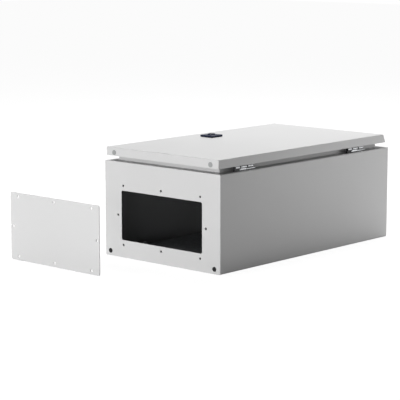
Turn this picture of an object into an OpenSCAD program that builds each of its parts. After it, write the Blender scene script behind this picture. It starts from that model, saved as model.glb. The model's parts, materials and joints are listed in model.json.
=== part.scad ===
// Steel wall enclosure, lying on its back with the door up.
// +X is the hinge side, -Y the gland plate end and +Z the way out through the door.
// The origin is the middle of the four wall holes, on the outer face of the back.
// The gland plate is off and stands on its long edge beside the end that it closes.

/* [Body] */
// Width of the body over the lock side and the hinge side
body_w = 400; // [360:10:600]
// Length of the body, its height once it hangs on the wall
body_l = 700; // [600:10:1000]
// Depth of the body from the back to the flat rim
body_d = 250; // [220:5:350]
// Thickness of the body's sheet
body_t = 1.5; // [1.2:0.1:2]
// Outer radius of the two long folds at the back
back_fold_r = 5; // [3:0.5:8]
// Outer radius of the two long folds at the rim
rim_fold_r = 3; // [2.5:0.5:4]
// Radius of the upright corners, where the end walls are welded in and ground
corner_r = 2.5; // [2:0.5:4]
// Width of the flat rim from the outer face to the foot of the collar
rim_w = 25; // [22:0.5:28]
// How far the collar leans in from its foot to its top
collar_lean = 6; // [2:0.5:8]
// Diameter of the four wall holes
wall_hole_d = 9; // [7:0.5:11]
// Distance of each wall hole from the two outer faces beside it
wall_hole_edge = 40; // [36:1:44]

/* [Gland opening] */
// Width of the opening in the end wall
gland_open_w = 280; // [200:5:290]
// Height of the opening in the end wall
gland_open_h = 130; // [100:5:140]
// Corner radius of the opening
gland_open_r = 5; // [3:0.5:10]
// Height of the opening's middle above the back
gland_z = 111; // [100:1:125]
// Screw hole spacing across the opening, at the two middle holes
gland_mid_pitch = 305; // [302:1:312]
// Screw hole spacing across the opening, at the four corner holes
gland_pitch_w = 267; // [200:1:280]
// Screw hole spacing up the end wall
gland_pitch_h = 155.5; // [154:0.5:162]
// Diameter of the screw holes in the end wall
gland_hole_d = 6.4; // [6.2:0.1:6.6]
// Thread diameter of the weld nuts behind the screw holes
gland_nut_thread_d = 6; // [5:0.5:6]
// Width over the flats of a weld nut
gland_nut_af = 10; // [9.5:0.5:11]
// Height of a weld nut
gland_nut_h = 5; // [3:0.5:6]

/* [Gland plate] */
// Width of the plate
plate_w = 324; // [322:1:334]
// Height of the plate
plate_h = 176; // [172:1:184]
// Thickness of the plate
plate_t = 2; // [1.5:0.5:3]
// Diameter of the screw holes in the plate
plate_hole_d = 7; // [6.4:0.1:8]
// Corner radius of the plate
plate_r = 5; // [2:0.5:8]
// Width of the foam strip on the plate's inner side
strip_w = 6; // [4:0.5:6.5]
// Thickness of the foam strip
strip_t = 3; // [2:0.5:5]
// Gap between the opening's edge and the foam strip
strip_edge = 2; // [1:0.5:3]
// How far the plate stands out in front of the end wall
plate_stand_out = 204; // [100:5:300]
// How far the plate stands towards the lock side
plate_stand_side = 175; // [0:5:300]
// Height of the standing plate's lower edge above the back's plane
plate_stand_up = 0.2; // [0:0.1:2]

/* [End plugs] */
// Diameter of the two holes near the back corners of the gland plate end
end_hole_d = 10; // [8:0.5:11]
// Distance of the end holes from the outer faces of the sides
end_hole_side = 19; // [15:0.5:30]
// Height of the end holes above the back
end_hole_z = 12.8; // [10.5:0.1:14]
// Diameter of a plug's head
end_plug_d = 12.5; // [12:0.5:14]
// Thickness of a plug's head
end_plug_t = 1.4; // [1:0.1:2]

/* [Door] */
// Distance of the door's long sides inside the body's sides
door_side_inset = 6.5; // [4:0.5:8]
// Distance of the door's lower end inside the end wall
door_low_inset = 1; // [0:0.5:4]
// Distance of the foot of the door's sloping upper end inside the end wall
door_top_inset = 5.5; // [2:0.5:8]
// How far the door's upper end slopes in over its height
door_slope = 10.5; // [4:0.5:12]
// Height of the door's flanges
door_flange_h = 22.5; // [20:0.5:26]
// Gap between the rim and the door's flanges
door_gap = 13.5; // [13:0.1:16]
// Thickness of the door's sheet
door_t = 1.5; // [1.2:0.1:2]
// Outer radius of the door's folds
door_fold_r = 2.5; // [2.2:0.1:4]
// Thickness of the foamed gasket
gasket_t = 8; // [6:0.5:9]
// Width of the foamed gasket
gasket_w = 12; // [8:0.5:12]
// Outer corner radius of the foamed gasket
gasket_r = 9; // [7:0.5:14]
// Gap between a moving face and its seat
seat_gap = 0.3; // [0.2:0.05:0.5]
// Diameter of the two tool holes in the door's lower flange
door_hole_d = 10; // [8:0.5:10]
// Diameter of the plugs in the tool holes
door_plug_d = 13.4; // [12:0.2:14]
// Thickness of the head of a tool hole plug
door_plug_t = 1.2; // [0.8:0.1:2]
// Distance of the tool holes from the door's long sides
door_hole_side = 27; // [20:1:40]
// Height of the tool holes above the flange's lower edge
door_hole_up = 8.6; // [8:0.1:12]

/* [Door rails] */
// Width of a punched rail
rail_w = 14; // [12:0.5:16]
// Height of a punched rail
rail_h = 12; // [9:0.5:15]
// Thickness of a punched rail's sheet
rail_t = 1.2; // [1:0.1:1.6]
// Gap between the gasket and a rail
rail_gap = 1.5; // [1:0.5:4]
// Gap between the gasket and the ends of a rail
rail_end_gap = 30; // [28:1:80]
// Diameter of the holes in a rail
rail_hole_d = 4.5; // [3:0.5:6]
// Spacing of the holes in a rail
rail_pitch = 25; // [20:5:50]

/* [Hinges] */
// Distance of the lower hinge's middle from the lower end of the body
hinge_low = 98; // [80:1:150]
// Distance of the upper hinge's middle from the upper end of the body
hinge_top = 141; // [80:1:200]
// Diameter of the knuckles
knuckle_d = 7.2; // [6:0.2:7.6]
// Diameter of the pins
pin_d = 4; // [3:0.5:4.5]
// Radial running clearance of the door's knuckles on the pins
pin_fit = 0.05; // [0.02:0.01:0.1]
// Distance of the pin's axis inside the door's long side
pin_inset = 3; // [2.6:0.1:3.2]
// Gap between the knuckles and the door's lower edge
knuckle_gap = 0.4; // [0.3:0.1:0.8]
// Length of the lower knuckle, on the door
knuckle_low = 16; // [12:1:20]
// Length of the middle knuckle, on the body
knuckle_mid = 21; // [15:1:25]
// Length of the upper knuckle, on the door
knuckle_top = 19; // [12:1:22]
// Length of the nylon washers between the knuckles
washer_l = 5; // [2:0.5:6]
// Thickness of the body's hinge leaf
leaf_t = 2.4; // [2:0.1:3]
// Length of the body's hinge leaf
leaf_l = 59.5; // [50:0.5:62]
// Thickness of the door's hinge leaf
door_leaf_t = 3; // [2.5:0.5:3]
// Height of the door's hinge leaf above the flange's lower edge
door_leaf_h = 17; // [12:0.5:18]
// Width of the block that the nylon pad carries under the lower knuckle
pad_block_w = 5; // [4:0.5:8]
// Length of the nylon cap on the lower end of the pin
pin_cap_l = 2.8; // [2:0.1:4]
// Thickness of the nylon pad under the body's leaf
pad_t = 1.8; // [1:0.1:2]
// Thread diameter of the hinge screws
hinge_screw_d = 5; // [4:0.5:5]
// Diameter of the hinge screws' heads
hinge_head_d = 9; // [8:0.5:9.5]
// Height of the hinge screws' heads
hinge_head_h = 3.2; // [2:0.1:3.4]

/* [Lock] */
// Middle of the lock along the door, from the middle of the body
lock_y = -17; // [-60:1:60]
// Width of the square housing flange
lock_flange_w = 44.5; // [36:0.5:46]
// Corner radius of the housing flange
lock_flange_r = 3; // [2.5:0.5:8]
// Thickness of the housing flange
lock_flange_t = 4.5; // [3:0.5:6]
// Width of the bevel round the top of the flange and of the boss
lock_bevel = 1.2; // [0.5:0.1:2]
// Diameter of the raised boss on the housing
lock_boss_d = 21.5; // [18:0.5:26]
// Height of the raised boss above the housing flange
lock_boss_h = 3; // [2:0.5:5]
// Diameter of the threaded housing body
lock_body_d = 20; // [18:0.5:22]
// Width over the two flats of the housing body
lock_body_af = 18; // [17:0.5:18]
// Length of the housing body below its flange
lock_body_l = 19; // [17:0.5:20]
// Thickness of the seal under the housing flange
lock_seal_t = 1; // [0.5:0.1:2]
// Distance of the seal's edge inside the edge of the housing flange
lock_seal_in = 1.5; // [0.5:0.5:3]
// Clearance of the housing body in the door's hole
lock_hole_fit = 0.2; // [0.1:0.05:0.4]
// Width over the flats of the lock nut
lock_nut_af = 27; // [25:0.5:28]
// Thickness of the lock nut
lock_nut_t = 6; // [4:0.5:8]
// Gap between the lock nut and the rail beside it
lock_nut_gap = 6; // [2:0.1:10]
// Diameter of the turning insert's head
insert_head_d = 13; // [12:0.5:14]
// Diameter of the turning insert's shaft
insert_shaft_d = 9.9; // [9:0.1:11]
// Radial running clearance of the insert in the housing
insert_fit = 0.05; // [0.02:0.01:0.1]
// Length of the insert's head
insert_head_l = 14; // [12:0.5:15]
// Depth of the insert's top below the top of the boss
insert_sink = 1.2; // [0.5:0.1:2]
// Width over the flats of the insert's square tang
tang_w = 7; // [6:0.5:7]
// Thickness of the cam
cam_t = 3; // [2.5:0.5:4]
// Width of the cam
cam_w = 16; // [12:1:18]
// How far the turned cam reaches under the rim
cam_hold = 12; // [6:1:18]
// Gap between the cam and the rim's underside
cam_gap = 1.2; // [1:0.1:2]
// Distance from the lock's axis to the start of the cam's crank
cam_crank_start = 11; // [10:0.5:13]
// Length of the cam's crank
cam_crank_l = 14; // [10:1:18]
// Diameter of the cam screw's head
cam_head_d = 12; // [10:0.5:14]
// Height of the cam screw's head
cam_head_h = 3.4; // [2:0.1:4]
// Thread diameter of the cam screw
cam_screw_d = 4; // [3:0.5:4]

/* [Mounting plate] */
// Clearance of the mounting plate inside the collar on each side
board_clear = 2.5; // [2:0.5:10]
// Thickness of the mounting plate
board_t = 2; // [1.5:0.5:3]
// Height of the folded long edges of the mounting plate
board_fold_h = 10; // [6:0.5:11]
// Size of the corner notches over the wall holes
board_notch = 28; // [24:1:32]
// Height of the spacers under the mounting plate
spacer_h = 12; // [11:0.5:20]
// Diameter of the spacers
spacer_d = 16; // [14:0.5:20]
// Thread diameter of the studs
stud_d = 8; // [6:1:8]
// Length that the studs stand above the back's inner face
stud_l = 28; // [26:1:40]
// Distance of the studs from the mounting plate's long edges
stud_side = 25; // [20:1:35]
// Distance of the studs from the mounting plate's ends
stud_end = 50; // [45:1:80]
// Clearance of washers, nuts and spacers on their studs
stud_fit = 0.1; // [0.05:0.05:0.2]
// Clearance of a stud in the mounting plate's hole
board_hole_fit = 0.5; // [0.3:0.1:1]
// Diameter of the washers
washer_d = 16; // [14:0.5:20]
// Thickness of the washers
washer_t = 1.6; // [1:0.1:2]
// Width over the flats of the nuts
nut_af = 13; // [12:0.5:14]
// Height of the nuts
nut_h = 6.5; // [5:0.5:8]

/* [Earth studs] */
// Distance of the body's earth stud from the middle, towards the hinges
body_earth_x = 120; // [60:5:140]
// Distance of the body's earth stud from the inner face of the end wall
body_earth_end = 16; // [14:0.5:18]
// Length of the body's earth stud
body_earth_l = 20; // [18:1:24]
// Thread diameter of the door's earth stud
door_earth_d = 6; // [5:0.5:6]
// Length of the door's earth stud
door_earth_l = 18; // [14:1:20]
// Distance of the door's earth stud from the gasket
door_earth_end = 14; // [10:0.5:14]
// Diameter of the washer on the door's earth stud
door_washer_d = 12; // [10:0.5:12]
// Thickness of the washer on the door's earth stud
door_washer_t = 1.2; // [0.8:0.1:1.6]
// Width over the flats of the nut on the door's earth stud
door_nut_af = 10; // [9:0.5:11]
// Height of the nut on the door's earth stud
door_nut_h = 5; // [4:0.5:6]

/* [Hidden] */
$fn = 48;

// A cut runs this far past the face that it opens
past = 1;

// Levels through the depth
door_low_z = body_d + door_gap;
door_top_z = door_low_z + door_flange_h;
door_in_z = door_top_z - door_t;
collar_top_z = door_in_z - gasket_t - seat_gap;
collar_h = collar_top_z - body_d;

// Plan of the door, seal and rails
door_half_w = body_w / 2 - door_side_inset;
door_low_y = -body_l / 2 + door_low_inset;
door_foot_y = body_l / 2 - door_top_inset;
door_far_y = door_foot_y - door_slope;
slope_l = sqrt(door_slope * door_slope + door_flange_h * door_flange_h);
seal_half_w = body_w / 2 - rim_w - collar_lean - body_t / 2;
seal_half_l = body_l / 2 - rim_w - collar_lean - body_t / 2;
rail_x = seal_half_w - gasket_w / 2 - rail_gap - rail_w / 2;
rail_l = 2 * (seal_half_l - gasket_w / 2 - rail_end_gap);

// Hinges
hinge_ys = [-body_l / 2 + hinge_low, body_l / 2 - hinge_top];
pin_x = door_half_w - pin_inset;
pin_z = door_low_z - knuckle_gap - knuckle_d / 2;
row_l = knuckle_low + knuckle_mid + knuckle_top + 2 * washer_l;
low_y0 = -row_l / 2;
mid_y0 = low_y0 + knuckle_low + washer_l;
top_y0 = mid_y0 + knuckle_mid + washer_l;
leaf_y0 = mid_y0 - 4;
leaf_x1 = pin_x + 1;
leaf_x0 = body_w / 2 - rim_w + 1.5;
leaf_z0 = body_d + pad_t;
hinge_screw_x = (leaf_x0 + leaf_x1) / 2;
hinge_screw_ys = [leaf_y0 + leaf_l * 0.2, leaf_y0 + leaf_l * 0.8];

// Lock
lock_nut_r = lock_nut_af / 2 / cos(30);
lock_x = -(rail_x - rail_w / 2 - lock_nut_gap - lock_nut_r);
lock_flange_z = door_top_z + lock_seal_t;
lock_boss_z = lock_flange_z + lock_flange_t + lock_boss_h;
lock_body_z = lock_flange_z - lock_body_l;
insert_top_z = lock_boss_z - insert_sink;
insert_step_z = insert_top_z - insert_head_l;
cam_top_z = lock_body_z - seat_gap;
cam_hook_z = body_d - body_t - cam_gap;
cam_drop = cam_top_z - cam_hook_z;
cam_reach = body_w / 2 + lock_x - rim_w + cam_hold;
cam_bend = cam_t * tan(atan(cam_drop / cam_crank_l) / 2);

// Mounting plate
collar_in_w = 2 * (body_w / 2 - rim_w - collar_lean - body_t);
collar_in_l = 2 * (body_l / 2 - rim_w - collar_lean - body_t);
board_w = collar_in_w - 2 * board_clear;
board_l = collar_in_l - 2 * board_clear;
board_z = body_t + spacer_h;
stud_x = board_w / 2 - stud_side;
stud_y = board_l / 2 - stud_end;
stud_points = [for (x = [-stud_x, stud_x]) for (y = [-stud_y, stud_y]) [x, y]];

// Earth studs
body_earth_y = -body_l / 2 + body_t + body_earth_end;
door_earth_y = -(seal_half_l - gasket_w / 2 - door_earth_end);

// Gland opening: four corner holes, then the middles of the four sides
gland_points = concat(
    [for (x = [-1, 1]) for (z = [-1, 1]) [x * gland_pitch_w / 2, z * gland_pitch_h / 2]],
    [for (x = [-1, 1]) [x * gland_mid_pitch / 2, 0]],
    [for (z = [-1, 1]) [0, z * gland_pitch_h / 2]]
);
plate_y = -body_l / 2 - plate_stand_out;
plate_z = plate_stand_up + plate_h / 2;

// Outlines

// Rectangle about its middle, with round corners
module round_rect(w, h, r) {
    square([w - 2 * r, h], center = true);
    square([w, h - 2 * r], center = true);
    for (x = [-1, 1])
        for (y = [-1, 1])
            translate([x * (w / 2 - r), y * (h / 2 - r)])
                circle(r);
}

// Cross-section of the body, drawn a given distance inside its outer face
module body_outline(inset) {
    back_r = back_fold_r - inset;
    rim_r = rim_fold_r - inset;
    half = body_w / 2 - inset;
    top = body_d - inset;
    mid = body_d / 2;
    translate([-half + back_r, inset])
        square([2 * (half - back_r), mid]);
    translate([-half, inset + back_r])
        square([2 * half, top - inset - back_r - rim_r]);
    translate([-half + rim_r, mid])
        square([2 * (half - rim_r), top - mid]);
    for (x = [-1, 1]) {
        translate([x * (half - back_r), inset + back_r])
            circle(back_r);
        translate([x * (half - rim_r), top - rim_r])
            circle(rim_r);
    }
}

// Extrudes an X-Z outline along Y, about the middle
module along_y(l) {
    rotate([90, 0, 0])
        linear_extrude(l, center = true)
            children();
}

// Extrudes a Y-Z outline along X, about the middle
module along_x(l) {
    rotate([90, 0, 90])
        linear_extrude(l, center = true)
            children();
}

// Half-width of the collar at height z, for a body of the given width or length
function collar_half(size, z, inset) =
    size / 2 - rim_w - inset - collar_lean * (z - body_d) / collar_h;

// Side view of the leaning collar as a filled block
module collar_outline(size, z0, z1, inset) {
    low = collar_half(size, z0, inset);
    high = collar_half(size, z1, inset);
    polygon([[-low, z0], [low, z0], [high, z1], [-high, z1]]);
}

// The leaning collar as a filled block, from z0 to z1
module collar_block(z0, z1, inset) {
    intersection() {
        along_y(body_l)
            collar_outline(body_w, z0, z1, inset);
        along_x(body_w)
            collar_outline(body_l, z0, z1, inset);
    }
}

// End view of the door, drawn a given distance inside its outer face
module door_end_outline(inset, low) {
    r = door_fold_r - inset;
    half = door_half_w - inset;
    top = door_top_z - inset;
    translate([-half, low])
        square([2 * half, top - r - low]);
    translate([-half + r, low])
        square([2 * (half - r), top - low]);
    for (x = [-1, 1])
        translate([x * (half - r), top - r])
            circle(r);
}

// Side view of the door, with its sloping upper end
module door_side_outline(inset, low) {
    r = door_fold_r - inset;
    top = door_top_z - inset;
    near = door_low_y + inset;
    fold_z = door_top_z - door_fold_r;
    near_fold = door_low_y + door_fold_r;
    far_fold = door_far_y - door_fold_r * (slope_l - door_slope) / door_flange_h;
    far_y = far_fold + r * door_flange_h / slope_l;
    far_z = fold_z + r * door_slope / slope_l;
    foot_y = far_y + (far_z - low) * door_slope / door_flange_h;
    polygon([
        [near, low], [foot_y, low], [far_y, far_z], [far_fold, fold_z],
        [far_fold, top], [near_fold, top], [near_fold, fold_z], [near, fold_z]
    ]);
    for (y = [near_fold, far_fold])
        translate([y, fold_z])
            circle(r);
}

// The door as a filled block, from the level low up
module door_block(inset, low) {
    intersection() {
        along_y(2 * body_l)
            door_end_outline(inset, low);
        along_x(2 * body_w)
            door_side_outline(inset, low);
    }
}

// Places children at each screw point of the gland plate, turned to face along -Y
module at_gland_points(y) {
    for (p = gland_points)
        translate([p[0], y, p[1]])
            rotate([90, 0, 0])
                children();
}

// Places children at both end holes, turned to face along -Y
module at_end_holes() {
    for (x = [-1, 1])
        translate([x * (body_w / 2 - end_hole_side), -body_l / 2, end_hole_z])
            rotate([90, 0, 0])
                children();
}

// Places children at both tool holes in the door's lower flange, facing along -Y
module at_door_holes() {
    for (x = [-1, 1])
        translate([x * (door_half_w - door_hole_side), door_low_y, door_low_z + door_hole_up])
            rotate([90, 0, 0])
                children();
}

// Places children at the middle of each hinge, on the pin's axis level with the rim
module at_hinges() {
    for (y = hinge_ys)
        translate([0, y, 0])
            children();
}

// A cylinder along Y, from y0 over the length l, on the pin's axis
module on_pin(d, y0, l) {
    translate([pin_x, y0 + l, pin_z])
        rotate([90, 0, 0])
            cylinder(d = d, h = l);
}

// Six-sided nut standing on z = 0
module hex_nut(af, bore_d, h) {
    difference() {
        cylinder(d = af / cos(30), h = h, $fn = 6);
        translate([0, 0, -past])
            cylinder(d = bore_d, h = h + 2 * past);
    }
}

// Flat ring standing on z = 0
module ring(outer_d, bore_d, h) {
    difference() {
        cylinder(d = outer_d, h = h);
        translate([0, 0, -past])
            cylinder(d = bore_d, h = h + 2 * past);
    }
}

// Push-in plug: a low head on the outside and a bead behind the sheet, facing +Z
module push_plug(head_d, head_t, hole_d, sheet_t) {
    hole_r = hole_d / 2;
    rotate_extrude()
        polygon([
            [0, head_t], [head_d / 2 - head_t / 2, head_t], [head_d / 2, head_t / 2],
            [head_d / 2, 0], [hole_r - 0.1, 0], [hole_r - 0.1, -sheet_t - 0.1],
            [hole_r + 0.4, -sheet_t - 0.5], [hole_r - 0.8, -sheet_t - 2.6], [0, -sheet_t - 2.6]
        ]);
}

// Body

module body_shell() {
    color([0.80, 0.81, 0.80])
    difference() {
        union() {
            intersection() {
                along_y(body_l)
                    body_outline(0);
                linear_extrude(2 * body_d)
                    round_rect(body_w, body_l, corner_r);
            }
            collar_block(body_d - body_t, collar_top_z, 0);
        }
        along_y(body_l - 2 * body_t)
            body_outline(body_t);
        collar_block(body_d - 2 * body_t, collar_top_z + past, body_t);
        // Opening and screw holes for the gland plate
        translate([0, -body_l / 2, gland_z]) {
            along_y(4 * body_t)
                round_rect(gland_open_w, gland_open_h, gland_open_r);
            at_gland_points(0)
                cylinder(d = gland_hole_d, h = 4 * body_t, center = true);
        }
        at_end_holes()
            cylinder(d = end_hole_d, h = 4 * body_t, center = true);
        // Wall holes
        for (x = [-1, 1])
            for (y = [-1, 1])
                translate([x * (body_w / 2 - wall_hole_edge), y * (body_l / 2 - wall_hole_edge), 0])
                    cylinder(d = wall_hole_d, h = 4 * body_t, center = true);
        // Holes for the hinge screws in the rim
        at_hinges()
            for (y = hinge_screw_ys)
                translate([hinge_screw_x, y, body_d])
                    cylinder(d = hinge_screw_d + 0.5, h = 4 * body_t, center = true);
    }
}

module gland_weld_nuts() {
    color([0.70, 0.70, 0.68])
    translate([0, 0, gland_z])
        at_gland_points(-body_l / 2 + body_t + gland_nut_h)
            hex_nut(gland_nut_af, gland_nut_thread_d, gland_nut_h);
}

module end_plugs() {
    color([0.06, 0.06, 0.07])
    at_end_holes()
        push_plug(end_plug_d, end_plug_t, end_hole_d, body_t);
}

// Hinges

// The black nylon pad seals the screw holes and carries a block under the lower knuckle
module hinge_pads() {
    block_top = pin_z - knuckle_d / 2 - 0.4;
    color([0.05, 0.05, 0.05])
    at_hinges()
        difference() {
            union() {
                translate([leaf_x0, leaf_y0, body_d])
                    cube([leaf_x1 - leaf_x0 - 0.5, leaf_l, pad_t]);
                translate([leaf_x1 - 0.5 - pad_block_w, low_y0 - 1, body_d])
                    cube([pad_block_w, leaf_y0 - low_y0 + 1, block_top - body_d]);
            }
            for (y = hinge_screw_ys)
                translate([hinge_screw_x, y, body_d - past])
                    cylinder(d = hinge_screw_d + 0.5, h = 4 * pad_t);
        }
}

module body_hinge_leaves() {
    web_x0 = pin_x - 3;
    color([0.78, 0.79, 0.80])
    at_hinges()
        difference() {
            union() {
                translate([leaf_x0, leaf_y0 + 0.1, leaf_z0])
                    cube([leaf_x1 - leaf_x0, leaf_l - 0.1, leaf_t]);
                translate([web_x0, mid_y0, leaf_z0])
                    cube([leaf_x1 - web_x0, knuckle_mid, pin_z - leaf_z0]);
                on_pin(knuckle_d, mid_y0, knuckle_mid);
            }
            on_pin(pin_d + 2 * pin_fit, mid_y0 - past, knuckle_mid + 2 * past);
            for (y = hinge_screw_ys)
                translate([hinge_screw_x, y, leaf_z0 - past])
                    cylinder(d = hinge_screw_d + 0.1, h = leaf_t + 2 * past);
        }
}

module hinge_screws() {
    color([0.72, 0.72, 0.70])
    at_hinges()
        for (y = hinge_screw_ys)
            translate([hinge_screw_x, y, body_d - body_t - hinge_head_h])
                difference() {
                    union() {
                        cylinder(d = hinge_head_d, h = hinge_head_h);
                        cylinder(d = hinge_screw_d, h = hinge_head_h + body_t + pad_t + leaf_t);
                    }
                    translate([0, 0, -past])
                        cylinder(d = 4.6, h = 0.6 * hinge_head_h + past, $fn = 6);
                }
}

module hinge_pins() {
    color([0.82, 0.83, 0.84])
    at_hinges()
        on_pin(pin_d, low_y0 - pin_cap_l / 2, row_l + pin_cap_l / 2 + 1);
}

// Two washers between the knuckles and a cap on the pin's lower end
module hinge_washers() {
    play = seat_gap / 2;
    color([0.05, 0.05, 0.05])
    at_hinges() {
        for (y = [mid_y0 - washer_l, top_y0 - washer_l])
            difference() {
                on_pin(knuckle_d - 0.8, y + play, washer_l - 2 * play);
                on_pin(pin_d + 2 * pin_fit, y - past, washer_l + 2 * past);
            }
        difference() {
            on_pin(knuckle_d - 0.4, low_y0 - seat_gap - pin_cap_l, pin_cap_l);
            on_pin(pin_d + 2 * pin_fit, low_y0 - pin_cap_l / 2, pin_cap_l);
        }
    }
}

module door_hinge_leaves() {
    plate_x = door_half_w - door_t - door_leaf_t;
    color([0.78, 0.79, 0.80])
    at_hinges()
        difference() {
            union() {
                translate([plate_x, low_y0, door_low_z + knuckle_gap])
                    cube([door_leaf_t, row_l, door_leaf_h - knuckle_gap]);
                for (k = [[low_y0, knuckle_low], [top_y0, knuckle_top]]) {
                    on_pin(knuckle_d, k[0], k[1]);
                    translate([plate_x, k[0], pin_z])
                        cube([door_leaf_t, k[1], door_low_z + 1 - pin_z]);
                }
            }
            on_pin(pin_d + 2 * pin_fit, low_y0 - past, row_l + 2 * past);
        }
}

// Mounting plate and its fixings

module plate_spacers() {
    color([0.72, 0.72, 0.70])
    for (p = stud_points)
        translate([p[0], p[1], body_t])
            ring(spacer_d, stud_d + 2 * stud_fit, spacer_h);
}

module plate_studs() {
    color([0.72, 0.72, 0.70])
    for (p = stud_points)
        translate([p[0], p[1], body_t])
            cylinder(d = stud_d, h = stud_l);
}

module mounting_plate() {
    color([0.74, 0.75, 0.76])
    difference() {
        union() {
            translate([-board_w / 2, -board_l / 2, board_z])
                cube([board_w, board_l, board_t]);
            for (x = [-1, 1])
                translate([x * (board_w - board_t) / 2, 0, board_z + board_t - board_fold_h / 2])
                    cube([board_t, board_l, board_fold_h], center = true);
        }
        for (x = [-1, 1])
            for (y = [-1, 1])
                translate([x * board_w / 2, y * board_l / 2, board_z])
                    cube([2 * board_notch, 2 * board_notch, 4 * board_fold_h], center = true);
        for (p = stud_points)
            translate([p[0], p[1], board_z - past])
                cylinder(d = stud_d + 2 * board_hole_fit, h = board_t + 2 * past);
    }
}

module plate_washers() {
    color([0.80, 0.80, 0.80])
    for (p = stud_points)
        translate([p[0], p[1], board_z + board_t])
            ring(washer_d, stud_d + 2 * stud_fit, washer_t);
}

module plate_nuts() {
    color([0.78, 0.78, 0.78])
    for (p = stud_points)
        translate([p[0], p[1], board_z + board_t + washer_t])
            hex_nut(nut_af, stud_d + 2 * stud_fit, nut_h);
}

// Earth stud on the back, between the mounting plate and the gland plate end

module body_earth_stud() {
    color([0.78, 0.62, 0.38])
    translate([body_earth_x, body_earth_y, body_t])
        cylinder(d = stud_d, h = body_earth_l);
}

module body_earth_washer() {
    color([0.78, 0.62, 0.38])
    translate([body_earth_x, body_earth_y, body_t])
        ring(washer_d, stud_d + 2 * stud_fit, washer_t);
}

module body_earth_nut() {
    color([0.78, 0.62, 0.38])
    translate([body_earth_x, body_earth_y, body_t + washer_t])
        hex_nut(nut_af, stud_d + 2 * stud_fit, nut_h);
}

// Door

// The lock hole has the two flats that keep the housing from turning
module lock_hole_outline(fit) {
    intersection() {
        circle(d = lock_body_d + 2 * fit);
        square([2 * lock_body_d, lock_body_af + 2 * fit], center = true);
    }
}

module door_shell() {
    color([0.88, 0.89, 0.88])
    difference() {
        door_block(0, door_low_z);
        door_block(door_t, door_low_z - past);
        at_door_holes()
            cylinder(d = door_hole_d, h = 4 * door_t, center = true);
        translate([lock_x, lock_y, door_in_z - past])
            linear_extrude(door_t + 2 * past)
                lock_hole_outline(lock_hole_fit);
    }
}

module door_gasket() {
    outer_w = 2 * seal_half_w + gasket_w;
    outer_l = 2 * seal_half_l + gasket_w;
    inner_r = max(gasket_r - gasket_w, 1.5);
    color([0.16, 0.16, 0.17])
    translate([0, 0, door_in_z - gasket_t])
        linear_extrude(gasket_t)
            difference() {
                round_rect(outer_w, outer_l, gasket_r);
                round_rect(outer_w - 2 * gasket_w, outer_l - 2 * gasket_w, inner_r);
            }
}

module door_rails() {
    holes = floor((rail_l / 2 - rail_pitch / 2) / rail_pitch);
    color([0.84, 0.85, 0.84])
    for (x = [-rail_x, rail_x])
        translate([x, 0, door_in_z - rail_h / 2])
            difference() {
                cube([rail_w, rail_l, rail_h], center = true);
                translate([0, 0, rail_t])
                    cube([rail_w - 2 * rail_t, rail_l + 2 * past, rail_h], center = true);
                for (i = [-holes:holes])
                    translate([0, i * rail_pitch, -rail_h / 2])
                        cylinder(d = rail_hole_d, h = 4 * rail_t, center = true, $fn = 24);
            }
}

module door_plugs() {
    color([0.66, 0.67, 0.67])
    at_door_holes()
        push_plug(door_plug_d, door_plug_t, door_hole_d, door_t);
}

module door_earth_stud() {
    color([0.78, 0.62, 0.38])
    translate([rail_x, door_earth_y, door_in_z - door_earth_l])
        cylinder(d = door_earth_d, h = door_earth_l);
}

module door_earth_washer() {
    color([0.78, 0.62, 0.38])
    translate([rail_x, door_earth_y, door_in_z - door_washer_t])
        ring(door_washer_d, door_earth_d + 2 * stud_fit, door_washer_t);
}

module door_earth_nut() {
    color([0.78, 0.62, 0.38])
    translate([rail_x, door_earth_y, door_in_z - door_washer_t - door_nut_h])
        hex_nut(door_nut_af, door_earth_d + 2 * stud_fit, door_nut_h);
}

// Lock

module lock_seal() {
    w = lock_flange_w - 2 * lock_seal_in;
    color([0.05, 0.05, 0.05])
    translate([lock_x, lock_y, door_top_z])
        difference() {
            linear_extrude(lock_seal_t)
                round_rect(w, w, lock_flange_r - lock_seal_in / 2);
            translate([0, 0, -past])
                cylinder(d = lock_body_d + 2 * seat_gap, h = lock_seal_t + 2 * past);
        }
}

// Side view of the housing flange with its bevelled top edge
module lock_flange_outline() {
    half = lock_flange_w / 2;
    polygon([
        [-half, 0], [half, 0], [half, lock_flange_t - lock_bevel],
        [half - lock_bevel, lock_flange_t], [-half + lock_bevel, lock_flange_t],
        [-half, lock_flange_t - lock_bevel]
    ]);
}

module lock_housing() {
    boss_h = lock_flange_t + lock_boss_h;
    color([0.07, 0.10, 0.20])
    translate([lock_x, lock_y, 0])
        difference() {
            union() {
                translate([0, 0, lock_flange_z])
                    intersection() {
                        linear_extrude(lock_flange_t)
                            round_rect(lock_flange_w, lock_flange_w, lock_flange_r);
                        along_y(2 * lock_flange_w)
                            lock_flange_outline();
                        along_x(2 * lock_flange_w)
                            lock_flange_outline();
                    }
                translate([0, 0, lock_flange_z])
                    rotate_extrude()
                        polygon([
                            [0, 0], [lock_boss_d / 2, 0], [lock_boss_d / 2, boss_h - lock_bevel],
                            [lock_boss_d / 2 - lock_bevel, boss_h], [0, boss_h]
                        ]);
                translate([0, 0, lock_body_z])
                    linear_extrude(lock_body_l)
                        lock_hole_outline(0);
            }
            translate([0, 0, insert_step_z - insert_fit])
                cylinder(d = insert_head_d + 2 * insert_fit, h = 2 * insert_head_l);
            translate([0, 0, lock_body_z - past])
                cylinder(d = insert_shaft_d + 2 * insert_fit, h = 2 * lock_body_l);
        }
}

module lock_nut() {
    color([0.70, 0.70, 0.68])
    translate([lock_x, lock_y, door_in_z - lock_nut_t])
        hex_nut(lock_nut_af, lock_body_d + 2 * stud_fit, lock_nut_t);
}

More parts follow.
